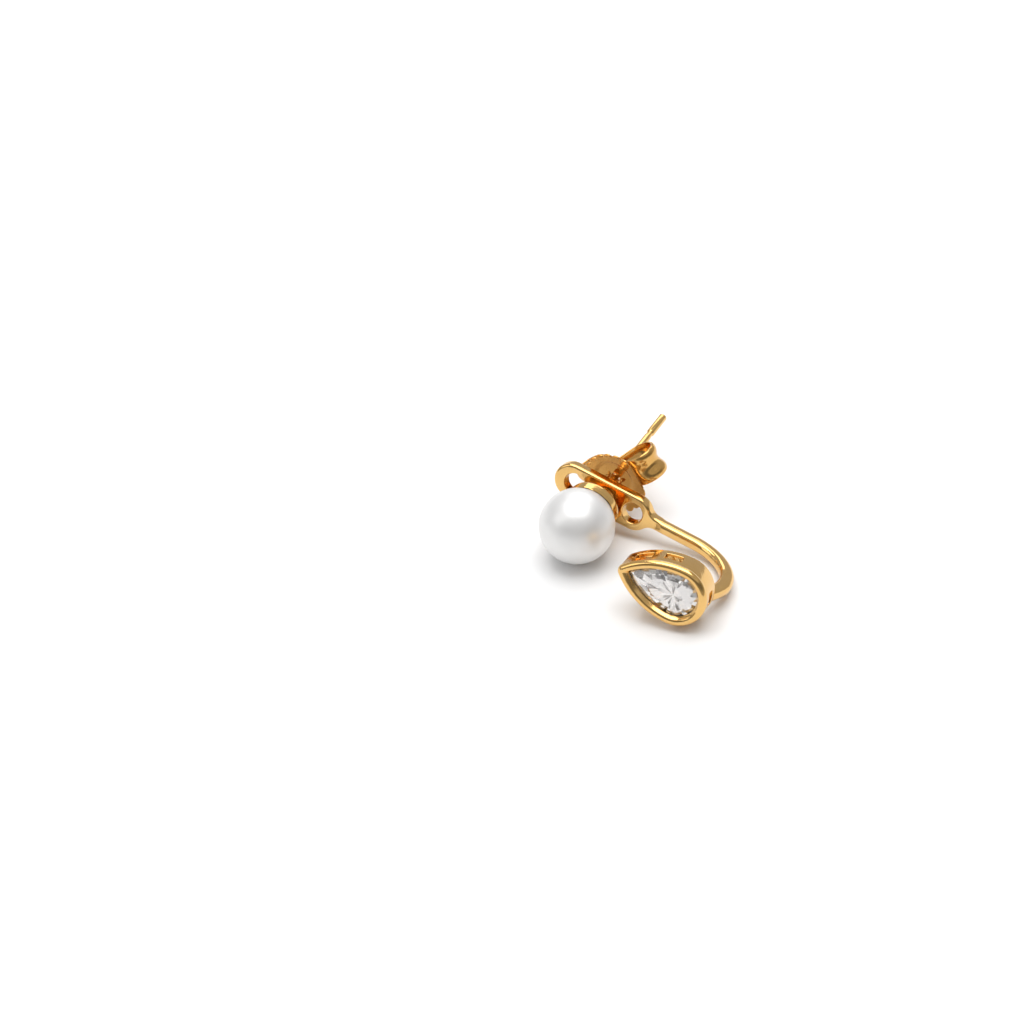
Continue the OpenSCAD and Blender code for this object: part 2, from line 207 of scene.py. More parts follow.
def rounded(corners, steps=6):
    """Closed outline through corners of (x, y, radius), each rounded by its radius."""
    points = []
    for i, (x, y, radius) in enumerate(corners):
        here = Vector((x, y))
        back = (Vector(corners[i - 1][:2]) - here).normalized()
        ahead = (Vector(corners[(i + 1) % len(corners)][:2]) - here).normalized()
        if radius == 0:
            points.append((x, y))
            continue
        half = back.angle(ahead) / 2
        centre = here + (back + ahead).normalized() * (radius / math.sin(half))
        first = here + back * (radius / math.tan(half)) - centre
        sense = 1 if back.x * ahead.y - back.y * ahead.x < 0 else -1
        for k in range(steps + 1):
            angle = sense * (math.pi - 2 * half) * k / steps
            c, s = math.cos(angle), math.sin(angle)
            x, y = first.x * c - first.y * s, first.x * s + first.y * c
            points.append((centre.x + x, centre.y + y))
    return points


def quads(bm, one, two, closed=False):
    """Faces between two rows of vertices of the same length."""
    for i in range(len(one) if closed else len(one) - 1):
        k = (i + 1) % len(one)
        bm.faces.new((one[i], one[k], two[k], two[i]))


def skin(bm, rings, closed=False, capped=True):
    """Quads between rings of the same number of points, into the mesh bm."""
    made = [[bm.verts.new(p) for p in ring] for ring in rings]
    pairs = list(zip(made, made[1:]))
    if closed:
        pairs.append((made[-1], made[0]))
    for one, two in pairs:
        quads(bm, one, two, closed=True)
    if capped and not closed:
        bm.faces.new(made[0][::-1])
        bm.faces.new(made[-1])


def lathe(bm, profile, steps):
    """A profile of (radius, height) points turned about Z. Points on the axis close the shape."""
    rings = []
    for radius, height in profile:
        ring = []
        for i in range(steps):
            angle = 2 * math.pi * i / steps
            ring.append((radius * math.cos(angle), radius * math.sin(angle), height))
        rings.append(ring)
    skin(bm, rings, capped=False)


def finished_mesh(bm, place, name, close=2e-4):
    """An object of bm's mesh, welded, turned right side out and put in its place."""
    bmesh.ops.remove_doubles(bm, verts=bm.verts, dist=close)
    bmesh.ops.dissolve_degenerate(bm, edges=bm.edges, dist=close / 2)
    bmesh.ops.recalc_face_normals(bm, faces=bm.faces)
    bm.transform(place)
    mesh = bpy.data.meshes.new(name)
    bm.to_mesh(mesh)
    bm.free()
    piece = bpy.data.objects.new(name, mesh)
    bpy.context.scene.collection.objects.link(piece)
    return piece


def apply_modifiers(piece):
    """The piece's mesh with its modifiers worked in, and the modifiers removed."""
    graph = bpy.context.evaluated_depsgraph_get()
    piece.data = bpy.data.meshes.new_from_object(piece.evaluated_get(graph))
    piece.data.name = piece.name
    piece.modifiers.clear()


def joined(piece, other, way):
    """piece with other added to it or cut from it. other is used up."""
    cut = piece.modifiers.new("join", "BOOLEAN")
    cut.operation = way
    cut.solver = "EXACT"
    cut.object = other
    apply_modifiers(piece)
    bpy.data.objects.remove(other)


def combined(nodes, links, kind, *values):
    """A math node of one kind, fed with numbers or with other nodes' outputs."""
    node = nodes.new("ShaderNodeMath")
    node.operation = kind
    for socket, value in zip(node.inputs, values):
        if isinstance(value, (int, float)):
            socket.default_value = value
        else:
            links.new(value, socket)
    return node.outputs["Value"]


def smooth(piece, sharp=24):
    """Smooth faces with true creases where they meet at more than the angle sharp."""
    bm = bmesh.new()
    bm.from_mesh(piece.data)
    bmesh.ops.remove_doubles(bm, verts=bm.verts, dist=2e-7)
    # Faces of many corners along the seam of a join can share a sliver with nothing in it
    bmesh.ops.triangulate(bm, faces=[face for face in bm.faces if len(face.verts) > 4])
    by_corners = {}
    for face in bm.faces:
        by_corners.setdefault(frozenset(face.verts), []).append(face)
    slivers = [face for faces in by_corners.values() if len(faces) > 1 for face in faces]
    bmesh.ops.delete(bm, geom=slivers, context="FACES")
    for face in bm.faces:
        face.smooth = True
    for edge in bm.edges:
        edge.smooth = edge.is_manifold and edge.calc_face_angle(0) < math.radians(sharp)
    bm.to_mesh(piece.data)
    bm.free()
    weighted = piece.modifiers.new("even", "WEIGHTED_NORMAL")
    weighted.keep_sharp = True
    weighted.weight = 80


# Pearl

def make_pearl():
    hole_r = PEG_R + SEAT_GAP
    mouth = math.degrees(math.asin(hole_r / PEARL_R))
    ball = arc((0, 0), PEARL_R, -90, 90 - mouth, 110)
    mouth_z = ball[-1][1]
    # The hole is a little narrower just inside its mouth
    hole = [(hole_r - 0.02, mouth_z - 0.03), (hole_r, mouth_z - 0.1)]
    hole += [(hole_r, PEG_DEEP), (0, PEG_DEEP)]
    bm = bmesh.new()
    lathe(bm, [(0, -PEARL_R)] + ball[1:] + hole, 160)
    return finished_mesh(bm, ON_POST, "pearl_bead")


# Post and cup

def make_stud():
    end_z = PEARL_TO_TIP - POST_END_L
    deepest_z = end_z - GROOVE_W * GROOVE_DEEPEST
    seat = PEARL_R + SEAT_GAP
    lip = math.degrees(math.asin(CUP_FRONT / seat))
    peg_end, bevel = PEG_DEEP + 0.2, 0.08
    profile = [(0, peg_end), (PEG_R - bevel, peg_end), (PEG_R, peg_end + bevel)]
    foot = math.degrees(math.acos(PEG_R / seat))
    profile += arc((0, 0), seat, foot, lip + 0.6, 24)
    profile += [(CUP_R - 0.02, CUP_FRONT), (CUP_R, CUP_FRONT + 0.03)]
    profile += arc((CUP_R - CUP_ROUND, CUP_BACK - CUP_ROUND), CUP_ROUND, 0, 90, 12)
    # Solder fillet between the cup and the post
    fillet = arc((0, 0), SOLDER_R, 90, 0, 8)
    profile += [(POST_R + SOLDER_R - x, CUP_BACK + SOLDER_R - y) for x, y in fillet]
    # The groove slopes in from the post and steps out to the thicker end
    profile += [
        (POST_R, end_z - GROOVE_W - 0.03),
        (POST_R - 0.006, end_z - GROOVE_W + 0.03),
        (GROOVE_R + 0.012, deepest_z - 0.06),
        (GROOVE_R + 0.003, deepest_z - 0.02),
        (GROOVE_R + 0.003, deepest_z + 0.01),
        (GROOVE_R + 0.02, deepest_z + 0.035),
        (POST_END_R - 0.03, end_z - 0.02),
        (POST_END_R - 0.008, end_z + 0.015),
        (POST_END_R, end_z + 0.06),
    ]
    end_round = POST_END_R / 2
    profile += arc((POST_END_R - end_round, PEARL_TO_TIP - end_round), end_round, 0, 90, 10)
    profile += [(0, PEARL_TO_TIP)]
    bm = bmesh.new()
    lathe(bm, profile, 128)
    return finished_mesh(bm, ON_POST, "post_and_cup")


# Jacket

EDGE_STEPS = 6
HOLE_SIDES = 48


def section_ring(wide, thick, edge):
    """Rounded rectangle of (x, y) points: front right, back right, back left, front left."""
    corner = arc((0, 0), edge, 0, 90, EDGE_STEPS)
    x, y = wide / 2 - edge, thick / 2 - edge
    ring = [(x + a, y + b) for a, b in reversed(corner)]
    ring += [(x + a, -y - b) for a, b in corner]
    ring += [(-x - a, -y - b) for a, b in reversed(corner)]
    ring += [(-x - a, y + b) for a, b in corner]
    return ring


def bar_side():
    """Right side of the bar's outline, from the top down to the tail, and the height it ends at.

    Each of its points has x, z and the direction outwards.
    """
    r = BAR_W / 2
    neck_x = TAIL_W / 2 + NECK_ROUND
    neck_drop = math.sqrt((r + NECK_ROUND) ** 2 - neck_x**2)
    meet = math.degrees(math.atan2(-neck_drop, neck_x))
    side = []
    for x, z in arc((0, TOP_END), r, 90, 0, 40):
        side.append((x, z, x / r, (z - TOP_END) / r))
    for i in range(1, 20):
        side.append((r, TOP_END + (LOW_END - TOP_END) * i / 20, 1, 0))
    for x, z in arc((0, LOW_END), r, 0, meet, 16):
        side.append((x, z, x / r, (z - LOW_END) / r))
    neck_z = LOW_END - neck_drop
    for x, z in arc((neck_x, neck_z), NECK_ROUND, meet + 180, 180, 16)[1:]:
        side.append((x, z, (neck_x - x) / NECK_ROUND, (neck_z - z) / NECK_ROUND))
    return side, neck_z


def rounding(steps):
    """Shares of an edge's rounding, from the side to the flat face: inward and rise."""
    shares = []
    for k in range(steps + 1):
        a = math.radians(90 * k / steps)
        shares.append((1 - math.cos(a), math.sin(a)))
    return shares


def make_bar(bm, side):
    """The bar with its three holes and rounded edges, open at the neck where the tail starts."""
    levels = rounding(EDGE_STEPS)
    loops = {}
    for face in (1, -1):
        for mirror in (1, -1):
            for k, (inward, rise) in enumerate(levels):
                y = face * (BAR_T / 2 - BAR_EDGE + BAR_EDGE * rise)
                points = [(mirror * (x - nx * BAR_EDGE * inward), y, z - nz * BAR_EDGE * inward)
                          for x, z, nx, nz in side]
                loops[face, mirror, k] = [bm.verts.new(p) for p in points]
    for mirror in (1, -1):
        strips = [loops[1, mirror, k] for k in range(EDGE_STEPS, -1, -1)]
        strips += [loops[-1, mirror, k] for k in range(EDGE_STEPS + 1)]
        for one, two in zip(strips, strips[1:]):
            quads(bm, one, two)
    # Holes with rounded edges
    rings = {}
    for number in range(3):
        hole_z = -number * HOLE_STEP
        column = []
        for face in (1, -1):
            order = range(EDGE_STEPS, -1, -1) if face == 1 else range(EDGE_STEPS + 1)
            for k in order:
                inward, rise = levels[k]
                y = face * (BAR_T / 2 - HOLE_EDGE + HOLE_EDGE * rise)
                circle = arc((0, hole_z), HOLE_R + HOLE_EDGE * inward, 0, 360, HOLE_SIDES)[:-1]
                ring = [bm.verts.new((x, y, z)) for x, z in circle]
                column.append(ring)
                if k == EDGE_STEPS:
                    rings[number, face] = ring
        for one, two in zip(column, column[1:]):
            quads(bm, one, two, closed=True)
    # Flat faces around the holes
    for face in (1, -1):
        outer = loops[face, 1, EDGE_STEPS] + loops[face, -1, EDGE_STEPS][::-1]
        polygons = [outer] + [rings[number, face] for number in range(3)]
        flat = [v for polygon in polygons for v in polygon]
        for a, b, c in tessellate_polygon([[v.co.copy() for v in polygon] for polygon in polygons]):
            corners = (flat[a], flat[b], flat[c])
            if len(set(corners)) == 3 and bm.faces.get(corners) is None:
                bm.faces.new(corners)


def make_tail(bm, neck_z):
    """The tail: it thickens, runs straight, bends to the front and ends in the setting's wall."""
    stations = []
    blend_steps = 8
    for i in range(blend_steps + 1):
        t = i / blend_steps
        share = ease(t)
        thick = BAR_T + (TAIL_T - BAR_T) * share
        ring = section_ring(TAIL_W, thick, BAR_EDGE + (TAIL_EDGE - BAR_EDGE) * share)
        z = neck_z - NECK_BLEND * t
        stations.append([(x, y + TAIL_FWD * share, z) for x, y in ring])
    ring = section_ring(TAIL_W, TAIL_T, TAIL_EDGE)
    straight_from = neck_z - NECK_BLEND
    straight_steps = 8
    for i in range(1, straight_steps):
        z = straight_from + (-BEND_START - straight_from) * i / straight_steps
        stations.append([(x, y + TAIL_FWD, z) for x, y in ring])
    bend_steps = 44
    for i in range(bend_steps + 1):
        a = math.radians(BEND_ANGLE * i / bend_steps)
        middle_y = TAIL_FWD + BEND_R
        # The inner side thickens over the last part of the bend
        share = TAIL_SWELL * ease(max(i / bend_steps * 2.5 - 1.5, 0))
        station = []
        for x, y in ring:
            r = BEND_R - y - share * (0.5 + y / TAIL_T)
            station.append((x, middle_y - r * math.cos(a), -BEND_START - r * math.sin(a)))
        stations.append(station)
    end_steps = 12
    for i in range(1, end_steps + 1):
        t = i / end_steps
        # The end rises to the setting's wall, its lower side more than its upper side
        station = []
        for x, y in ring:
            lower, upper = 0.5 - y / TAIL_T, 0.5 + y / TAIL_T
            rise = (TAIL_RISE * lower + TAIL_LIFT * upper) * t**1.4 + TAIL_SWELL * upper
            z = -BEND_START - BEND_R + y + rise
            station.append((x, TAIL_FWD + BEND_R + TAIL_END_L * t, z))
        stations.append(station)
    made = [[bm.verts.new(p) for p in station] for station in stations]
    for one, two in zip(made, made[1:]):
        quads(bm, one, two, closed=True)
    bm.faces.new(made[-1])


def make_bar_and_tail():
    side, neck_z = bar_side()
    bm = bmesh.new()
    make_bar(bm, side)
    make_tail(bm, neck_z)
    return finished_mesh(bm, JACKET, "jacket")


# Pear setting

SIDE_R = (PEAR_H**2 + PEAR_R**2) / (2 * PEAR_R)
SIDE_AT = SIDE_R - PEAR_R
TIP_UP = math.sqrt((SIDE_R - PEAR_TIP_R) ** 2 - SIDE_AT**2)
TIP_TURN = math.degrees(math.atan2(TIP_UP, SIDE_AT))


def pear_outline(inset):
    """The pear's outline, set in by inset, as the same number of points for every inset."""
    if inset < PEAR_TIP_R:
        tip_turn, tip_up, tip_r = TIP_TURN, TIP_UP, PEAR_TIP_R - inset
    else:
        tip_turn = math.degrees(math.acos(SIDE_AT / (SIDE_R - inset)))
        tip_up, tip_r = (SIDE_R - inset) * math.sin(math.radians(tip_turn)), 0
    outline = arc((0, 0), PEAR_R - inset, 180, 360, 72)
    outline += arc((-SIDE_AT, 0), SIDE_R - inset, 0, tip_turn, 64)[1:]
    outline += arc((0, tip_up), tip_r, tip_turn, 180 - tip_turn, 16)[1:]
    outline += arc((SIDE_AT, 0), SIDE_R - inset, 180 - tip_turn, 180, 64)[1:-1]
    return outline


def wall_section():
    """Rolled rim, lip over the stone, ledge under it and wall, as (inset, depth) points."""
    ledge_back = -WINDOW_FRONT + 0.03
    line = [
        (LIP_INNER - 0.19, -0.07, 0.08),
        (LIP_INNER, -0.35, 0.03),
        (LIP_INNER, -0.42, 0.0),
        (WALL_INNER, -0.6, 0.0),
        (WALL_INNER, -0.74, 0.0),
        (LIP_INNER + 0.03, -0.94, 0.0),
        (LIP_INNER + 0.03, ledge_back + 0.03, 0.0),
        (WALL_INNER, ledge_back, 0.0),
        (WALL_INNER, -SETTING_DEPTH, 0.09),
        (WALL_INSET, -SETTING_DEPTH, 0.11),
        (WALL_INSET, -RIM_R - 0.13, 0.0),
    ]
    line += [(x, z, 0.0) for x, z in arc((RIM_R, -RIM_R), RIM_R, 198, 72, 16)]
    return rounded(line)


def pear_place(side, along, inset):
    """Point of the outline, set in by inset, at a length from the widest place towards the tip."""
    if along >= 0:
        a = along / SIDE_R
        x, y = (SIDE_R - inset) * math.cos(a) - SIDE_AT, (SIDE_R - inset) * math.sin(a)
    else:
        a = along / PEAR_R
        x, y = (PEAR_R - inset) * math.cos(a), (PEAR_R - inset) * math.sin(a)
    return side * x, y


def window_cutter(bm, side, start, end):
    """Cutter for one window, wider where it leaves the wall so that its edges are broken."""
    half_u = (end - start) / 2 - WINDOW_CORNER
    half_v = (WINDOW_BACK - WINDOW_FRONT) / 2 - WINDOW_CORNER
    middle_u, middle_v = (start + end) / 2, -(WINDOW_FRONT + WINDOW_BACK) / 2
    loop = []
    for u, v, from_angle in ((1, 1, 0), (-1, 1, 90), (-1, -1, 180), (1, -1, 270)):
        for x, y in arc((0, 0), 1, from_angle, from_angle + 90, 6):
            loop.append((u * half_u, v * half_v, x, y))
        if u == v:
            # The long sides follow the wall's curve
            sides = max(2, int(2 * half_u / 0.1))
            for i in range(1, sides):
                loop.append((u * half_u * (1 - 2 * i / sides), v * half_v, 0, v))
    # How far in from the outline, and how much wider than the window
    layers = (
        (WALL_INSET - 0.6, 0.13),
        (WALL_INSET - 0.1, 0.13),
        (WALL_INSET, 0.045),
        (WALL_INSET + 0.014, 0.02),
        (WALL_INSET + 0.045, 0),
        (WALL_INNER - 0.02, 0),
        (WALL_INNER + 0.02, 0.015),
        (WALL_INNER + 0.5, 0.015),
    )
    rings = []
    for inset, grow in layers:
        corner = WINDOW_CORNER + grow
        ring = []
        for u, v, x, y in loop:
            place = pear_place(side, middle_u + u + x * corner, inset)
            ring.append((*place, middle_v + v + y * corner))
        rings.append(ring)
    skin(bm, rings)


def make_setting():
    section = wall_section()
    outlines = {}
    for inset, _ in section:
        outlines.setdefault(round(inset, 6), pear_outline(inset))
    count = len(next(iter(outlines.values())))
    rings = []
    for i in range(count):
        rings.append([(*outlines[round(inset, 6)][i], z) for inset, z in section])
    bm = bmesh.new()
    skin(bm, rings, closed=True)
    return finished_mesh(bm, SETTING, "setting_ring")


def make_jacket():
    jacket = make_bar_and_tail()
    setting = make_setting()
    joined(jacket, setting, "UNION")
    for side, start, end in WINDOWS:
        bm = bmesh.new()
        window_cutter(bm, side, start, end)
        joined(jacket, finished_mesh(bm, SETTING, "window_cutter"), "DIFFERENCE")
    return jacket


# Stone

STONE_SIDE_R = SIDE_R - STONE_INSET
STONE_TIP_UP = math.sqrt((STONE_SIDE_R - STONE_TIP_R) ** 2 - SIDE_AT**2)
STONE_TIP_TURN = math.degrees(math.atan2(STONE_TIP_UP, SIDE_AT))


def stone_reach(angle):
    """Distance from the round end's centre to the stone's side that faces an angle in degrees."""
    a = math.radians(angle)
    if angle < 0 or angle > 180:
        return PEAR_R - STONE_INSET
    if angle <= STONE_TIP_TURN:
        return STONE_SIDE_R - SIDE_AT * math.cos(a)
    if angle >= 180 - STONE_TIP_TURN:
        return STONE_SIDE_R + SIDE_AT * math.cos(a)
    return STONE_TIP_UP * math.sin(a) + STONE_TIP_R


def grind(bm, angle, spread, peak, start, side):
    """Cut a facet that leaves the edge at height start and meets the axis at peak beyond it."""
    a = math.radians(angle)
    reach = stone_reach(angle) * spread
    normal = Vector((peak * math.cos(a), peak * math.sin(a), side * reach)).normalized()
    cut = bmesh.ops.bisect_plane(
        bm,
        geom=bm.verts[:] + bm.edges[:] + bm.faces[:],
        dist=1e-5,
        plane_co=(0, 0, start + side * peak),
        plane_no=normal,
        clear_outer=True,
    )
    rim = [e for e in cut["geom_cut"] if isinstance(e, bmesh.types.BMEdge)]
    if rim:
        bmesh.ops.contextual_create(bm, geom=rim)


def make_stone():
    outline = arc((0, 0), PEAR_R - STONE_INSET, 180, 360, 24)
    outline += arc((-SIDE_AT, 0), STONE_SIDE_R, 0, STONE_TIP_TURN, 16)[1:]
    outline += arc((0, STONE_TIP_UP), STONE_TIP_R, STONE_TIP_TURN, 180 - STONE_TIP_TURN, 4)[1:]
    outline += arc((SIDE_AT, 0), STONE_SIDE_R, 180 - STONE_TIP_TURN, 180, 16)[1:-1]
    bm = bmesh.new()
    bottom = -GIRDLE_DEPTH - GIRDLE_T
    table = CROWN_H - GIRDLE_DEPTH
    skin(bm, [[(x, y, z) for x, y in outline] for z in (bottom - PAVILION_H, table)])
    # Each row of facets: how far out it starts and how steep it is, on the crown and below
    for angles, crown_spread, crown_peak, spread, steep in (
        (MAIN_FACETS, 1.02, 1.2, 1.01, 1),
        (BETWEEN_FACETS, 1.35, 0.72, 1.16, 0.93),
        (EDGE_FACETS, 1, 1.65, 1, 1.16),
    ):
        for angle in angles:
            grind(bm, angle, crown_spread, crown_peak, -GIRDLE_DEPTH, 1)
            grind(bm, angle, spread, PAVILION_H * steep, bottom, -1)
    return finished_mesh(bm, SETTING, "cut_stone")


# Butterfly back

def sheet_edge(inner, outer):
    """Closed section of a bent sheet: outer line, rounded edge, inner line back, rounded edge."""
    ring = []
    for line, other in ((outer, inner), (inner[::-1], outer[::-1])):
        ring += line
        end, across = Vector(line[-1]), Vector(other[-1])
        middle = (end + across) / 2
        out = (Vector(line[-1]) - Vector(line[-2])).normalized()
        half = (end - across) / 2
        for k in range(1, 9):
            a = math.pi * k / 9
            ring.append(tuple(middle + half * math.cos(a) + out * (half.length * math.sin(a))))
    return ring


def strip_ring(share):
    """Section of a curled strip as (distance from the curl's axis, y): a groove between two ridges.

    share is 0 where the strip leaves the flat plate and 1 where the groove has its full depth.
    """
    steps = 40
    half = STRIP_W / 2 - SHEET_T / 2
    outer = []
    for i in range(steps + 1):
        y = half * (2 * i / steps - 1)
        lobed = CURL_R - RIDGE_H * math.cos(math.pi * y / RIDGE_AT)
        flat = CURL_R + RIDGE_H * 0.6
        outer.append((flat + (lobed - flat) * share, y))
    inner = [(x - SHEET_T, y) for x, y in outer]
    return sheet_edge(inner, outer)


def make_curl():
    """The curl on one side of the hole, still in the back's own frame."""
    curl_z = CURL_R + RIDGE_H + SHEET_T / 2 - CURL_AT**2 / 2 / DISH_R
    rings = []
    steps = 60
    for i in range(steps + 1):
        a = math.radians(CURL_START + CURL_ANGLE * i / steps)
        ring = strip_ring(ease(min(CURL_ANGLE * i / steps / CURL_FADE, 1)))
        rings.append([(CURL_AT + r * math.cos(a), y, curl_z + r * math.sin(a)) for r, y in ring])
    a = math.radians(CURL_START + CURL_ANGLE)
    leg_steps = 10
    for i in range(1, leg_steps + 1):
        run = LEG_L * i / leg_steps
        x, z = CURL_AT - run * math.sin(a), curl_z + run * math.cos(a)
        rings.append([(x + r * math.cos(a), y, z + r * math.sin(a)) for r, y in ring])
    bm = bmesh.new()
    skin(bm, rings)
    return finished_mesh(bm, Matrix(), "curls")


def plate_edge(angle):
    """Point of the plate's edge at an angle around the middle of its round outline, in degrees."""
    pitch = 360 / SCALLOPS
    off = math.radians((angle + pitch / 2) % pitch - pitch / 2)
    centre = PLATE_R - SCALLOP_R
    half_chord = math.sqrt(max(SCALLOP_R**2 - (centre * math.sin(off)) ** 2, 0))
    reach = max(centre * math.cos(off) + half_chord, PLATE_R - SCALLOP_R * 0.6)
    across = abs(math.cos(math.radians(angle)))
    if reach * across > PLATE_HALF_L:
        reach = PLATE_HALF_L / across
    a = math.radians(angle)
    return Vector((reach * math.cos(a), reach * math.sin(a) + PLATE_OFF))


def plate_height(r):
    """Height of the plate's underside at a distance from the hole: a dish with a pressed ring."""
    ring = PLATE_RING_H * (1 - ease(min(max((r - PLATE_RING_R) / 0.3, 0), 1)))
    return -r * r / 2 / DISH_R + ring - 0.03


def make_plate():
    """The plate with its scalloped edge, as sections around the hole."""
    around = SCALLOPS * 16
    # Closer together at both edges and where the pressed ring steps down
    shares = (0, 0.03, 0.07, 0.12, 0.18, 0.25, 0.32, 0.4, 0.45, 0.5,
              0.55, 0.6, 0.66, 0.73, 0.8, 0.87, 0.93, 0.97, 1)
    rings = []
    for i in range(around):
        edge = plate_edge(360 * i / around)
        reach = edge.length - SHEET_T / 2
        towards = edge.normalized()
        start = PLATE_HOLE_R + PLATE_HOLE_EDGE
        low = []
        for share in shares:
            r = start + (reach - start) * share
            low.append((r, plate_height(r)))
        high = [(r, z + SHEET_T) for r, z in low]
        ring = sheet_edge(low, high)
        rings.append([(r * towards.x, r * towards.y, z) for r, z in ring])
    bm = bmesh.new()
    skin(bm, rings, closed=True)
    return finished_mesh(bm, BACK, "friction_back")


def repeat_tree(name):
    """Geometry nodes that repeat a mesh around Z, with their inputs by name."""
    tree = bpy.data.node_groups.new(name, "GeometryNodeTree")
    sockets = {}
    for label, kind, direction in (
        ("Geometry", "NodeSocketGeometry", "OUTPUT"),
        ("Geometry", "NodeSocketGeometry", "INPUT"),
        ("Count", "NodeSocketInt", "INPUT"),
        ("First Turn", "NodeSocketFloat", "INPUT"),
        ("Material", "NodeSocketMaterial", "INPUT"),
    ):
        sockets[label] = tree.interface.new_socket(label, in_out=direction, socket_type=kind)
    nodes, links = tree.nodes, tree.links
    given, out = nodes.new("NodeGroupInput"), nodes.new("NodeGroupOutput")
    points = nodes.new("GeometryNodePoints")
    links.new(given.outputs["Count"], points.inputs["Count"])
    index = nodes.new("GeometryNodeInputIndex")
    pitch = combined(nodes, links, "DIVIDE", 2 * math.pi, given.outputs["Count"])
    first = given.outputs["First Turn"]
    angle = combined(nodes, links, "MULTIPLY_ADD", index.outputs["Index"], pitch, first)
    about_z = nodes.new("ShaderNodeCombineXYZ")
    links.new(angle, about_z.inputs["Z"])
    placed = nodes.new("GeometryNodeInstanceOnPoints")
    links.new(points.outputs["Points"], placed.inputs["Points"])
    links.new(given.outputs["Geometry"], placed.inputs["Instance"])
    links.new(about_z.outputs["Vector"], placed.inputs["Rotation"])
    real = nodes.new("GeometryNodeRealizeInstances")
    links.new(placed.outputs["Instances"], real.inputs["Geometry"])
    painted = nodes.new("GeometryNodeSetMaterial")
    links.new(real.outputs["Geometry"], painted.inputs["Geometry"])
    links.new(given.outputs["Material"], painted.inputs["Material"])
    links.new(painted.outputs["Geometry"], out.inputs["Geometry"])
    return tree, sockets


def make_burr():
    """A burr of the pierced hole, standing out from the plate towards the ear."""
    rings = []
    for i in range(7):
        t = i / 6
        # It leans outwards, and gets narrower and thinner towards its point
        half = 0.26 * math.sqrt(max(1 - t**2.2, 0.02))
        r, z = 0.5 + 0.22 * t, 0.1 - 0.38 * t
        thick = 0.06 * (1 - 0.5 * t)
        square = ((-1, -1), (1, -1), (1, 1), (-1, 1))
        corners = [(x * half, y * thick, thick * 0.6) for x, y in square]
        rings.append([(r + y - 0.8 * x * x, x, z) for x, y in rounded(corners, 2)])
    bm = bmesh.new()
    skin(bm, rings)
    return finished_mesh(bm, Matrix(), "burrs")


def make_back(material):
    back = make_plate()
    tree, sockets = repeat_tree("repeat_around_hole")
    for make, count, first_turn in ((make_curl, 2, 0), (make_burr, BURRS, 45)):
        part = make()
        repeat = part.modifiers.new("repeat", "NODES")
        repeat.node_group = tree
        repeat[sockets["Count"].identifier] = count
        repeat[sockets["First Turn"].identifier] = math.radians(first_turn)
        repeat[sockets["Material"].identifier] = material
        apply_modifiers(part)
        part.data.transform(BACK)
        joined(back, part, "UNION")
    return back


# Materials

def new_material(name):
    material = bpy.data.materials.new(name)
    material.use_nodes = True
    nodes, links = material.node_tree.nodes, material.node_tree.links
    return material, nodes, links, nodes["Principled BSDF"]


def surface_group(name):
    """Polish marks for any metal: a slow unevenness and fine hairlines, as a height and a mask."""
    group = bpy.data.node_groups.new(name, "ShaderNodeTree")
    for label, kind, direction, value in (
        ("Wave Size", "NodeSocketFloat", "INPUT", 900.0),
        ("Hairline Size", "NodeSocketFloat", "INPUT", 9000.0),
        ("Hairline Share", "NodeSocketFloat", "INPUT", 0.25),
        ("Height", "NodeSocketFloat", "OUTPUT", None),
        ("Mask", "NodeSocketFloat", "OUTPUT", None),
    ):
        socket = group.interface.new_socket(label, in_out=direction, socket_type=kind)
        if value is not None:
            socket.default_value = value
    nodes, links = group.nodes, group.links
    given, out = nodes.new("NodeGroupInput"), nodes.new("NodeGroupOutput")
    place = nodes.new("ShaderNodeTexCoord")
    slow = nodes.new("ShaderNodeTexNoise")
    slow.inputs["Detail"].default_value = 2.0
    fine = nodes.new("ShaderNodeTexNoise")
    fine.inputs["Detail"].default_value = 4.0
    stretch = nodes.new("ShaderNodeMapping")
    stretch.inputs["Scale"].default_value = (1.0, 0.12, 0.35)
    stretch.inputs["Rotation"].default_value = (0.3, 0.5, 0.9)
    links.new(place.outputs["Object"], slow.inputs["Vector"])
    links.new(place.outputs["Object"], stretch.inputs["Vector"])
    links.new(stretch.outputs["Vector"], fine.inputs["Vector"])
    links.new(given.outputs["Wave Size"], slow.inputs["Scale"])
    links.new(given.outputs["Hairline Size"], fine.inputs["Scale"])
    mix = nodes.new("ShaderNodeMix")
    links.new(given.outputs["Hairline Share"], mix.inputs["Factor"])
    links.new(slow.outputs["Fac"], mix.inputs["A"])
    links.new(fine.outputs["Fac"], mix.inputs["B"])
    links.new(mix.outputs["Result"], out.inputs["Height"])
    links.new(fine.outputs["Fac"], out.inputs["Mask"])
    return group


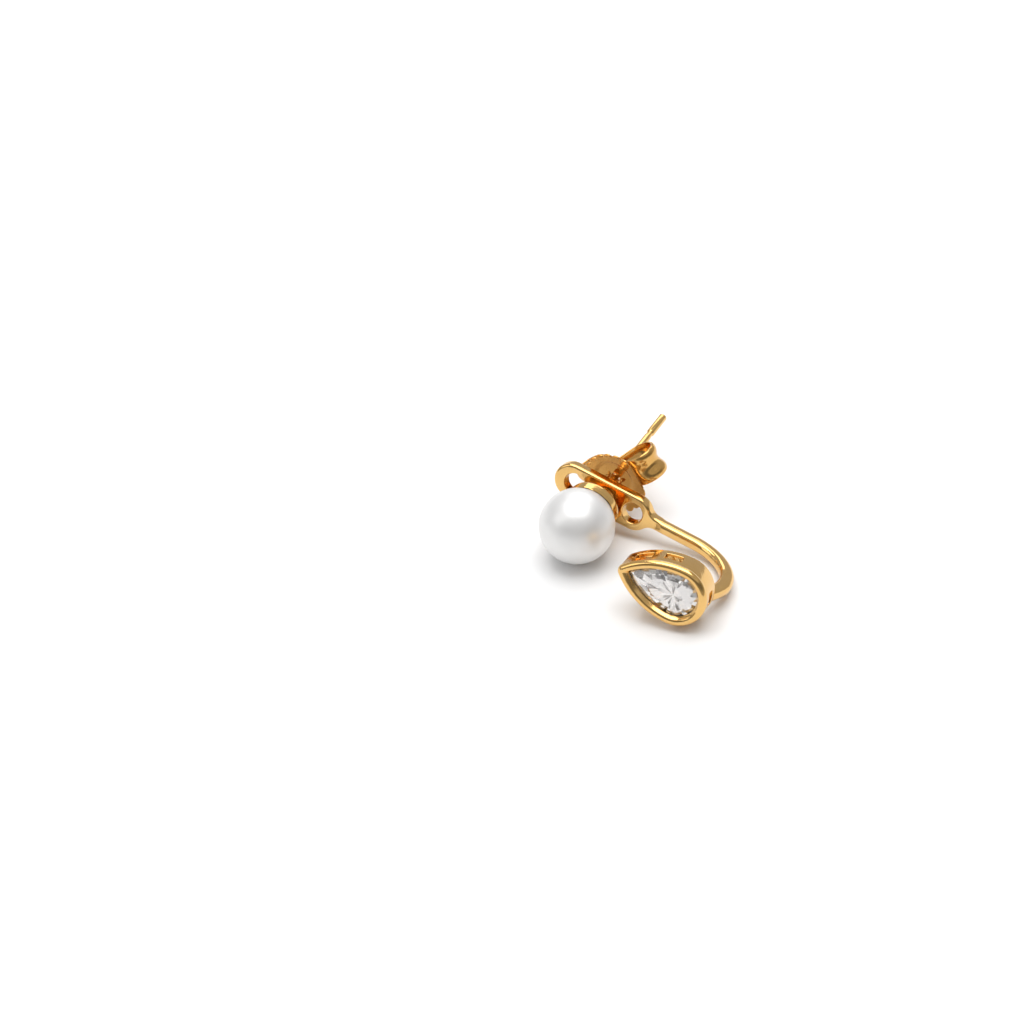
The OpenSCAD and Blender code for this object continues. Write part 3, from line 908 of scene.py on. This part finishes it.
def gold_material(name, marks, colour, deep, roughness):
    """Gold whose colour goes from colour to deep, and its roughness between two values."""
    material, nodes, links, shader = new_material(name)
    shader.inputs["Metallic"].default_value = 1.0
    group = nodes.new("ShaderNodeGroup")
    group.node_tree = marks
    tone = nodes.new("ShaderNodeMix")
    tone.data_type = "RGBA"
    tone.inputs["A"].default_value = (*colour, 1)
    tone.inputs["B"].default_value = (*deep, 1)
    links.new(group.outputs["Height"], tone.inputs["Factor"])
    links.new(tone.outputs["Result"], shader.inputs["Base Color"])
    rough = nodes.new("ShaderNodeMapRange")
    rough.inputs["From Min"].default_value = 0.3
    rough.inputs["From Max"].default_value = 0.7
    rough.inputs["To Min"].default_value, rough.inputs["To Max"].default_value = roughness
    links.new(group.outputs["Mask"], rough.inputs["Value"])
    links.new(rough.outputs["Result"], shader.inputs["Roughness"])
    relief = nodes.new("ShaderNodeBump")
    relief.inputs["Strength"].default_value = 0.6
    relief.inputs["Distance"].default_value = 0.00004
    links.new(group.outputs["Height"], relief.inputs["Height"])
    links.new(relief.outputs["Normal"], shader.inputs["Normal"])
    return material


def pearl_material():
    material, nodes, links, shader = new_material("nacre")
    place = nodes.new("ShaderNodeTexCoord")
    cloud = nodes.new("ShaderNodeTexNoise")
    cloud.inputs["Scale"].default_value = 500.0
    cloud.inputs["Detail"].default_value = 3.0
    links.new(place.outputs["Object"], cloud.inputs["Vector"])
    tone = nodes.new("ShaderNodeMix")
    tone.data_type = "RGBA"
    tone.inputs["A"].default_value = (0.80, 0.795, 0.785, 1)
    tone.inputs["B"].default_value = (0.86, 0.85, 0.835, 1)
    links.new(cloud.outputs["Fac"], tone.inputs["Factor"])
    links.new(tone.outputs["Result"], shader.inputs["Base Color"])
    shader.inputs["Metallic"].default_value = 0.5
    shader.inputs["Roughness"].default_value = 0.42
    shader.inputs["Coat Weight"].default_value = 0.14
    shader.inputs["Coat Roughness"].default_value = 0.15
    return material


def stone_material():
    """A clear stone, cut so finely behind its table that the small facets tilt its light."""
    material, nodes, links, shader = new_material("clear_stone")
    shader.inputs["Base Color"].default_value = (1.0, 0.975, 0.96, 1)
    shader.inputs["Metallic"].default_value = 0.68
    shader.inputs["Roughness"].default_value = 0.2
    shader.inputs["IOR"].default_value = 1.8
    shader.inputs["Transmission Weight"].default_value = 1.0
    # Place on the stone from the facets' common point: across and along the setting
    place = nodes.new("ShaderNodeTexCoord")
    inverse = SETTING.inverted()
    seen = []
    for row, offset in ((inverse[0], 0), (inverse[1], -0.2)):
        dot = nodes.new("ShaderNodeVectorMath")
        dot.operation = "DOT_PRODUCT"
        dot.inputs[1].default_value = row[:3]
        links.new(place.outputs["Object"], dot.inputs[0])
        seen.append(combined(nodes, links, "ADD", dot.outputs["Value"], row[3] + offset))
    across, along = seen
    angle = combined(nodes, links, "ARCTAN2", along, across)
    squares = [combined(nodes, links, "MULTIPLY", v, v) for v in (across, along)]
    radius = combined(nodes, links, "SQRT", combined(nodes, links, "ADD", *squares))
    polar = nodes.new("ShaderNodeCombineXYZ")
    links.new(combined(nodes, links, "MULTIPLY", angle, 32 / (2 * math.pi)), polar.inputs["X"])
    links.new(combined(nodes, links, "MULTIPLY", radius, 1.4), polar.inputs["Y"])
    cells = nodes.new("ShaderNodeTexVoronoi")
    cells.voronoi_dimensions = "2D"
    cells.inputs["Scale"].default_value = 1.0
    cells.inputs["Randomness"].default_value = 0.8
    links.new(polar.outputs["Vector"], cells.inputs["Vector"])
    tilt = nodes.new("ShaderNodeVectorMath")
    tilt.operation = "MULTIPLY_ADD"
    tilt.inputs[1].default_value = (0.7, 0.7, 0.7)
    tilt.inputs[2].default_value = (-0.35, -0.35, -0.35)
    links.new(cells.outputs["Color"], tilt.inputs[0])
    # The facets lie flatter around their common point
    slope = nodes.new("ShaderNodeVectorMath")
    slope.operation = "SCALE"
    links.new(tilt.outputs["Vector"], slope.inputs[0])
    near_point = combined(nodes, links, "MULTIPLY_ADD", radius, 0.5, 0.35)
    links.new(combined(nodes, links, "MINIMUM", near_point, 1.0), slope.inputs["Scale"])
    facing = nodes.new("ShaderNodeNewGeometry")
    tilted = nodes.new("ShaderNodeVectorMath")
    links.new(facing.outputs["Normal"], tilted.inputs[0])
    links.new(slope.outputs["Vector"], tilted.inputs[1])
    whole = nodes.new("ShaderNodeVectorMath")
    whole.operation = "NORMALIZE"
    links.new(tilted.outputs["Vector"], whole.inputs[0])
    links.new(whole.outputs["Vector"], shader.inputs["Normal"])
    return material


def set_material(piece, material):
    piece.data.materials.clear()
    piece.data.materials.append(material)


# The pieces, each on its body

marks = surface_group("polish_marks")
gold = gold_material("polished_gold", marks, (0.86, 0.555, 0.22), (0.80, 0.48, 0.15), (0.06, 0.16))
# The butterfly back's gold is rougher, as pressed sheet is. Its darker colour and darker deep tone
# are painted shade.
shaded_sheet_gold = gold_material(
    "pressed_gold_painted_shade", marks, (0.80, 0.48, 0.16), (0.66, 0.35, 0.09), (0.1, 0.24)
)

pieces = (
    (make_pearl(), "stud", "pearl", "nacre", pearl_material()),
    (make_stud(), "stud", "stud_post", "gold", gold),
    (make_jacket(), "jacket", "ear_jacket", "gold", gold),
    (make_back(shaded_sheet_gold), "back", "butterfly_back", "gold", shaded_sheet_gold),
    (make_stone(), "jacket", "pear_stone", "crystal", stone_material()),
)
for piece, body, node, slot, material in pieces:
    set_material(piece, material)
    if node != "pear_stone":
        smooth(piece)
    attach(piece, body)
    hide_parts(node)


# Table, light and camera

def make_floor():
    mesh = bpy.data.meshes.new("table")
    half = 0.6
    corners = [(-half, -half, 0), (half, -half, 0), (half, half, 0), (-half, half, 0)]
    mesh.from_pydata(corners, [], [(0, 1, 2, 3)])
    floor = bpy.data.objects.new("table", mesh)
    bpy.context.scene.collection.objects.link(floor)
    material, _, _, shader = new_material("pale_table")
    shader.inputs["Base Color"].default_value = (0.9, 0.9, 0.9, 1)
    shader.inputs["Roughness"].default_value = 0.6
    set_material(floor, material)


def make_light(name, place, size, power):
    """A softbox that faces the earring."""
    data = bpy.data.lights.new(name, "AREA")
    data.shape = "RECTANGLE"
    data.size, data.size_y = size
    data.energy = power
    light = bpy.data.objects.new(name, data)
    light.location = place
    light.rotation_euler = (-Vector(place)).to_track_quat("-Z", "Y").to_euler()
    bpy.context.scene.collection.objects.link(light)


def make_world():
    """A light tent: pale all round and overhead, but dim on the photographer's side."""
    world = bpy.data.worlds.new("studio")
    bpy.context.scene.world = world
    world.use_nodes = True
    nodes, links = world.node_tree.nodes, world.node_tree.links
    place = nodes.new("ShaderNodeTexCoord")
    split = nodes.new("ShaderNodeSeparateXYZ")
    links.new(place.outputs["Generated"], split.inputs["Vector"])
    height = nodes.new("ShaderNodeValToRGB")
    stops = height.color_ramp.elements
    stops[0].position, stops[0].color = 0.0, (0.6, 0.6, 0.6, 1)
    stops[1].position, stops[1].color = 1.0, (0.75, 0.75, 0.76, 1)
    greys = ((0.15, 0.45), (0.3, 0.24), (0.5, 0.2), (0.66, 0.75), (0.8, 0.55), (0.9, 0.8))
    for position, grey in greys:
        stop = stops.new(position)
        stop.color = (grey, grey, grey, 1)
    links.new(split.outputs["Z"], height.inputs["Fac"])
    near = nodes.new("ShaderNodeMapRange")
    near.inputs["From Min"].default_value = 0.35
    near.inputs["From Max"].default_value = -0.35
    links.new(split.outputs["Y"], near.inputs["Value"])
    both = nodes.new("ShaderNodeMix")
    both.data_type = "RGBA"
    both.inputs["A"].default_value = (0.62, 0.62, 0.63, 1)
    links.new(near.outputs["Result"], both.inputs["Factor"])
    links.new(height.outputs["Color"], both.inputs["B"])
    back = nodes["Background"]
    links.new(both.outputs["Result"], back.inputs["Color"])
    back.inputs["Strength"].default_value = 0.8


def make_camera():
    """The photograph's camera, placed from the stud as it stands in the photograph."""
    # The picture's right and up and the way back to the camera, seen from the stud
    turned = Matrix((
        (-0.15196474, -0.46998755, -0.86949320),
        (-0.69257968, -0.57698471, 0.43292267),
        (-0.70515254, 0.66798230, -0.23782249),
    ))
    # The pearl's place from the point that the camera faces, and the camera's distance
    pearl, far = Vector((7.17, 1.474, -2.973)), 275
    stand = ON_TABLE @ (turned.transposed() @ (Vector((0, 0, far)) - pearl))
    data = bpy.data.cameras.new("camera")
    # The picture is 1024 pixels wide, and the focal length is 3520 of them
    data.sensor_width = 36
    data.lens = data.sensor_width * 3520 / 1024
    data.clip_start, data.clip_end = 0.01, 10
    camera = bpy.data.objects.new("camera", data)
    facing = (ON_TABLE.to_3x3() @ turned.transposed()).to_4x4()
    camera.matrix_world = Matrix.Translation(stand * 0.001) @ facing
    bpy.context.scene.collection.objects.link(camera)
    bpy.context.scene.camera = camera


make_floor()
make_light("top_softbox", (0, 0.05, 0.5), (0.5, 0.4), 2.1)
make_light("left_softbox", (-0.45, -0.1, 0.3), (0.25, 0.3), 0.3)
make_light("back_softbox", (0.1, 0.5, 0.35), (0.5, 0.2), 0.6)
make_world()
make_camera()
bpy.context.scene.view_settings.view_transform = "Standard"
